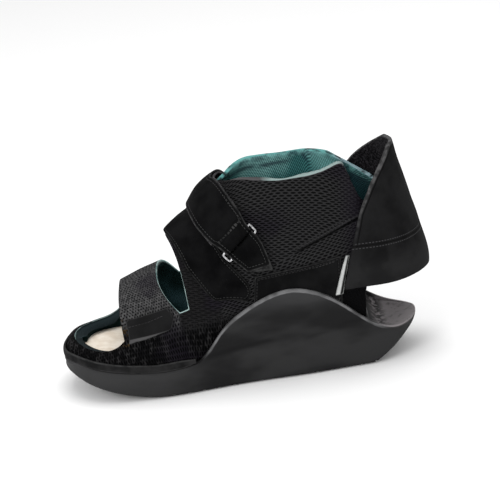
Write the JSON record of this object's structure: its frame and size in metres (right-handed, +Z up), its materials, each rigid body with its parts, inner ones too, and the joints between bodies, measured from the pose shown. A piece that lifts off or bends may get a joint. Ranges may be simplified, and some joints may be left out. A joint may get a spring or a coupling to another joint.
{
  "type": "post operative shoe",
  "caption": "Open-toe post-operative shoe: rocker sole with side wings, padded fabric bootie, hook-and-loop straps with a metal ring, and a heel sling with a pull peak.",
  "frame": {"origin": "on the floor under the flat of the tread, near the middle of the sole", "axes": "+X to the heel, -X to the toe, +Z up, -Y the side that carries the ring and the closures"},
  "size_m": [0.3014, 0.1126, 0.172],
  "materials": {
    "sole_grey": "matte moulded foam rubber",
    "insole_cream": "soft brushed cover",
    "mesh_black": "padded spacer mesh",
    "smooth_black": "smooth brushed laminate",
    "loop_black": "loop pile",
    "ring_steel": "bright wire",
    "flag_grey": "woven tape"
  },
  "bodies": {
    "root": {"sole": "sole_grey", "insole": "insole_cream", "upper": "mesh_black", "toe_rand": "mesh_black", "rear_gusset": "mesh_black", "heel_sling": "smooth_black", "instep_band": "smooth_black", "quarter_panel_near": "smooth_black", "quarter_panel_far": "smooth_black", "toe_strap_tab": "smooth_black", "strap_loop_pad": "loop_black", "instep_strap": "smooth_black", "strap_ring": "ring_steel", "ring_anchor": "smooth_black", "grey_flag": "flag_grey"}
  },
  "joints": []
}
